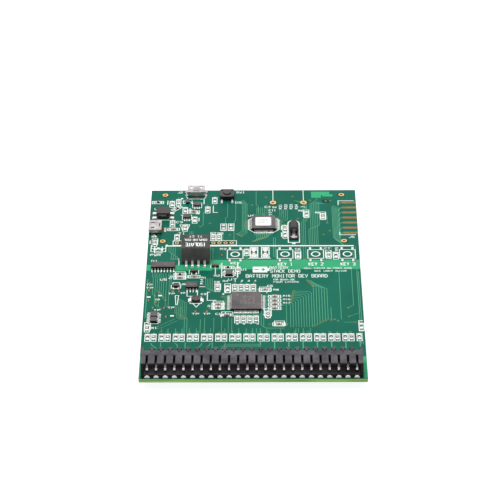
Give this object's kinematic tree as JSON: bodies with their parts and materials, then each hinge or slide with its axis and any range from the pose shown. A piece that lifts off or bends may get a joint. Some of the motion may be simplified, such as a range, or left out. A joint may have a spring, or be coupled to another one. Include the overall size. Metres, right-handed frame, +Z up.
{
  "type": "microcontroller dev board",
  "caption": "Rectangular green circuit board on rubber feet with a wide front pluggable header, two micro-USB sockets, chips, transformer and a push button.",
  "frame": {"origin": "on the surface the board stands on, under the middle of the board", "axes": "+X right along the short side, +Y to the rear edge with the USB socket and button, +Z up from the component side; the pluggable header is at -Y"},
  "size_m": [0.088, 0.136, 0.0132],
  "materials": {
    "solder_mask": "glossy",
    "gold_plate": "satin",
    "header_plastic": "matte",
    "tin_plate": "satin",
    "shell_steel": "satin",
    "connector_plastic": "matte",
    "button_black": "satin",
    "ic_resin": "matte",
    "label_paper": "matte",
    "ferrite": "matte",
    "copper": "satin",
    "resistor_glaze": "glossy",
    "capacitor_ceramic": "satin",
    "led_base": "matte",
    "led_lens": "glossy",
    "rubber_feet": "matte"
  },
  "bodies": {
    "board_assembly": {"button_base": "connector_plastic", "button_cover": "button_black", "button_dome": "shell_steel", "button_terminals": "tin_plate", "capacitor_bodies": "capacitor_ceramic", "capacitor_ends": "tin_plate", "choke_core": "ferrite", "choke_terminals": "tin_plate", "choke_winding": "copper", "circuit_board": "solder_mask", "controller_ic_body": "ic_resin", "controller_ic_leads": "tin_plate", "controller_label": "label_paper", "corner_eyelets": "gold_plate", "driver_ic_body": "ic_resin", "driver_ic_leads": "tin_plate", "edge_fingers": "gold_plate", "header_housing": "header_plastic", "header_pins": "tin_plate", "inductor_core": "ferrite", "inductor_shield": "ferrite", "inductor_terminals": "tin_plate", "led_bases": "led_base", "led_lenses": "led_lens", "memory_ic_body": "ic_resin", "memory_ic_leads": "tin_plate", "monitor_ic_body": "ic_resin", "monitor_ic_leads": "tin_plate", "rear_usb_contacts": "gold_plate", "rear_usb_insulator": "connector_plastic", "rear_usb_shell": "shell_steel", "receiver_base": "connector_plastic", "receiver_body": "button_black", "receiver_clip": "shell_steel", "regulator_bodies": "ic_resin", "regulator_leads": "tin_plate", "resistor_bodies": "resistor_glaze", "resistor_ends": "tin_plate", "rubber_feet": "rubber_feet", "side_usb_contacts": "gold_plate", "side_usb_insulator": "connector_plastic", "side_usb_shell": "shell_steel", "socket_row_eyelets": "gold_plate", "test_pads": "gold_plate", "transformer_case": "ic_resin", "transformer_core": "ferrite", "transformer_leads": "tin_plate", "transformer_windings": "copper", "transistor_bodies": "ic_resin", "transistor_leads": "tin_plate", "usb_a_eyelets": "gold_plate"},
    "push_button": {"button_plunger": "button_black"}
  },
  "joints": [
    {"name": "button_press", "type": "slide", "parent": "board_assembly", "child": "push_button", "axis": [0, 0, -1], "range_m": [0, 0.00025], "stiffness_N_per_m": 5000, "deforming": ["button_dome"]}
  ]
}
